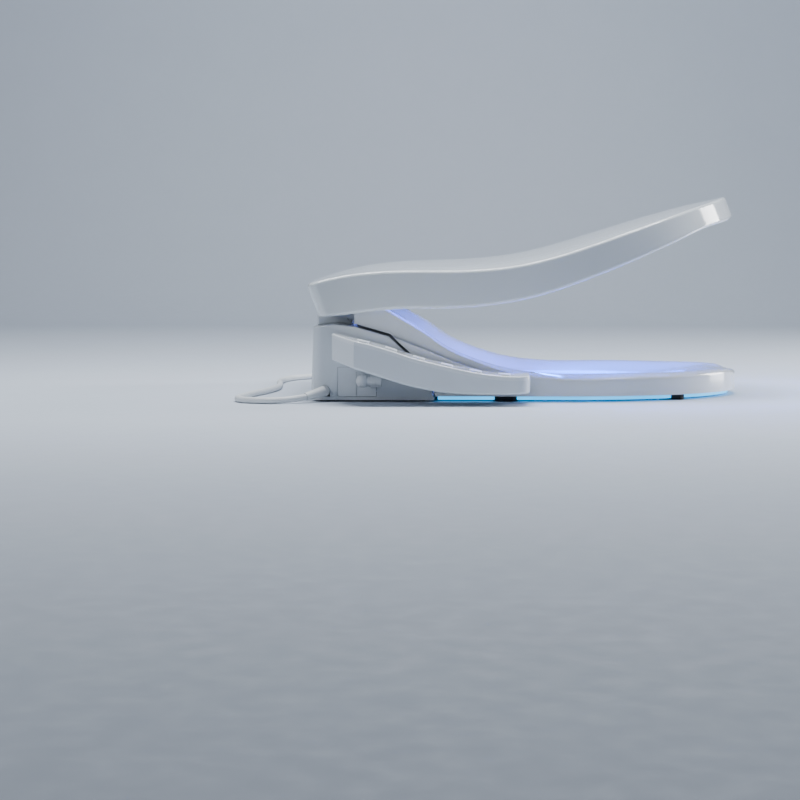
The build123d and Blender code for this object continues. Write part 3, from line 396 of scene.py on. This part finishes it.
# One for each finish that the CAD nodes name.
FINISHES = {
    "lid_white": moulded("lid_white", (0.68, 0.72, 0.75), 0.12, coat=0.7),
    "seat_white": moulded("seat_white", (0.70, 0.73, 0.77), 0.13, coat=0.7),
    "case_white": moulded("case_white", (0.64, 0.68, 0.73), 0.20, coat=0.4),
    # panel_white is lighter than case_white: partly the panel's own colour, partly a
    # painted highlight for the bright band that the top light makes along the arm's
    # top.
    "panel_white": moulded("panel_white", (0.74, 0.77, 0.81), 0.14, coat=0.6),
    "satin_white": moulded("satin_white", (0.62, 0.65, 0.69), 0.38, grain=900),
    "button_white": moulded("button_white", (0.70, 0.73, 0.77), 0.30, grain=900),
    "inner_grey": moulded("inner_grey", (0.42, 0.43, 0.45), 0.45, grain=700),
    "gear_white": moulded("gear_white", (0.72, 0.72, 0.69), 0.4, grain=800),
    "nozzle_white": moulded("nozzle_white", (0.76, 0.78, 0.80), 0.2, coat=0.3),
    "fitting_white": ribbed_white("fitting_white"),
    "cord_white": moulded("cord_white", (0.66, 0.68, 0.70), 0.42, grain=1200),
    "plug_white": moulded("plug_white", (0.68, 0.70, 0.72), 0.38, grain=900),
    "damper_black": moulded("damper_black", (0.035, 0.035, 0.038), 0.4),
    "chip_black": moulded("chip_black", (0.02, 0.02, 0.022), 0.5),
    "tie_black": moulded("tie_black", (0.02, 0.02, 0.022), 0.45),
    "dark_rubber": rubber("dark_rubber", (0.012, 0.012, 0.014)),
    "lens_blue": lit_plastic("lens_blue", (0.5, 0.6, 1.0), (0.18, 0.26, 1.0), 4.0),
    "light_cyan": lit_plastic("light_cyan", (0.12, 0.5, 0.8), (0.02, 0.5, 1.0), 1.9),
    "steel": metal("steel", (0.62, 0.63, 0.65), 0.28),
    "zinc_steel": metal("zinc_steel", (0.66, 0.67, 0.70), 0.38),
    "heater_foil": metal("heater_foil", (0.75, 0.52, 0.32), 0.35),
    "pin_brass": metal("pin_brass", (0.80, 0.66, 0.36), 0.25),
    "board_green": circuit_board("board_green"),
    "carbon_black": carbon("carbon_black"),
}

for node in nodes.values():
    finish = node.data.materials[0].name.split(".")[0]
    node.data.materials.clear()
    node.data.materials.append(FINISHES[finish])
mains_cord.data.materials.append(FINISHES["cord_white"])

# ---------------------------------------------------------------- edges
# The CAD surfaces come split along their faces, so they are joined first.
WELD_GAP = 1e-5
BEVEL_SEGMENTS = 3
BEVEL_ANGLE = math.radians(32)  # edges that are sharper than this get a bevel
FACE_WEIGHT = 60
# Width of the bevel on each of these nodes; 0 joins and smooths without one.
SOFT_EDGES = {
    "lid_shell": 0.0012,
    "seat_top": 0.0010,
    "arm_case": 0.0012,
    "arm_panel": 0.0008,
    "hinge_cover": 0.0020,
    "top_cover": 0,
    "side_panel": 0.0006,
    "plug": 0.0015,
    "seat_light": 0.0006,
}


def soften(name, width):
    """Joins a node's faces, bevels its sharp edges and evens out its shading."""
    weld = nodes[name].modifiers.new("weld", "WELD")
    weld.merge_threshold = WELD_GAP
    if width:
        bevel = nodes[name].modifiers.new("bevel", "BEVEL")
        bevel.width = width
        bevel.segments = BEVEL_SEGMENTS
        bevel.limit_method = "ANGLE"
        bevel.angle_limit = BEVEL_ANGLE
        bevel.miter_outer = "MITER_ARC"
    even = nodes[name].modifiers.new("even", "WEIGHTED_NORMAL")
    even.keep_sharp = False
    even.weight = FACE_WEIGHT


for name, width in SOFT_EDGES.items():
    soften(name, width)


# ---------------------------------------------------------------- lights
WHITE = (1, 1, 1)
COOL = (0.93, 0.965, 1.0)
LENS_BLUE = (0.03, 0.09, 1.0)
DISH_BLUE = (0.01, 0.15, 1.0)
WORLD_COLOUR = (0.50, 0.60, 0.72, 1)
WORLD_STRENGTH = 0.22
LENS_GAP = 0.004  # the glow starts this far in front of the lens


def lamp(name, place, target, size, energy, colour, size_y=None, cone=180):
    """Area lamp that looks from place to target; cone is in degrees."""
    data = bpy.data.lights.new(name, "AREA")
    data.spread = math.radians(cone)
    data.energy = energy
    data.color = colour
    data.size = size
    if size_y:
        data.shape = "RECTANGLE"
        data.size_y = size_y
    made = link(bpy.data.objects.new(name, data))
    made.location = place
    aim(made, Vector(target) - Vector(place))
    return made


lamp(
    "top",
    (-0.12, -0.2, 1.5),
    (0, -0.2, 0.1),
    size=1.5,
    energy=42,
    colour=COOL,
    size_y=0.26,
)
lamp(
    "front_box",
    (0.62, -2.0, 0.60),
    (0, -0.35, 0.1),
    size=0.62,
    energy=38,
    colour=WHITE,
    size_y=1.1,
)
lamp(
    "front_low",
    (0.05, -0.74, 0.05),
    (-0.16, -0.3, 0.03),
    size=0.14,
    energy=0.3,
    colour=COOL,
    size_y=0.1,
)
lamp(
    "rear_box",
    (-1.0, 1.6, 0.75),
    (0, 0.05, 0.12),
    size=0.5,
    energy=8,
    colour=WHITE,
    size_y=0.9,
)

# The lamp in the hinge cover lights the dish of the seat from behind.
low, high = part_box("lamp_lens")
lens = (low + high) / 2
lamp(
    "seat_glow",
    (lens.x, low.y - LENS_GAP, lens.z),
    (0, -0.36, 0.02),
    size=high.x - low.x,
    energy=3.4,
    colour=LENS_BLUE,
    size_y=high.z - low.z,
    cone=120,
)
# A second glow over the dish stands for the light that its walls pass on.
low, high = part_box("seat_base")
lamp(
    "dish_glow",
    (0, -0.24, 0.085),
    (0, -0.42, high.z),
    size=0.12,
    energy=2.2,
    colour=DISH_BLUE,
)

world = bpy.data.worlds.new("studio")
scene.world = world
world.use_nodes = True
background = world.node_tree.nodes["Background"]
background.inputs["Color"].default_value = WORLD_COLOUR
background.inputs["Strength"].default_value = WORLD_STRENGTH

# ---------------------------------------------------------------- floor and backdrop
FLOOR_REAR = 2.6  # the floor curves up into a backdrop beyond this
FLOOR_HALF = 5.0
CURVE_R = 0.9
WALL_TOP = 4.0
CURVE_STEPS = 24


def make_backdrop():
    """Pale studio floor that sweeps up behind the object."""
    line = [(-FLOOR_HALF, 0.0), (FLOOR_REAR, 0.0)]
    for k in range(1, CURVE_STEPS + 1):
        turned = math.pi / 2 * k / CURVE_STEPS
        line.append(
            (
                FLOOR_REAR + CURVE_R * math.sin(turned),
                CURVE_R * (1 - math.cos(turned)),
            )
        )
    line.append((FLOOR_REAR + CURVE_R, WALL_TOP))
    corners = [(x, side * FLOOR_HALF, z) for x, z in line for side in (-1, 1)]
    quads = [(2 * k, 2 * k + 2, 2 * k + 3, 2 * k + 1) for k in range(len(line) - 1)]
    data = bpy.data.meshes.new("backdrop")
    data.from_pydata(corners, [], quads)
    data.polygons.foreach_set("use_smooth", [True] * len(quads))
    made = link(bpy.data.objects.new("backdrop", data))
    paper = moulded("backdrop", (0.53, 0.58, 0.66), 0.8, depth=1e-6, vary=0.01)
    made.data.materials.append(paper)
    return made


make_backdrop()
lamp(
    "backdrop_light",
    (1.2, -0.2, 2.6),
    (3.4, -0.2, 0.7),
    size=1.5,
    energy=58,
    colour=COOL,
)
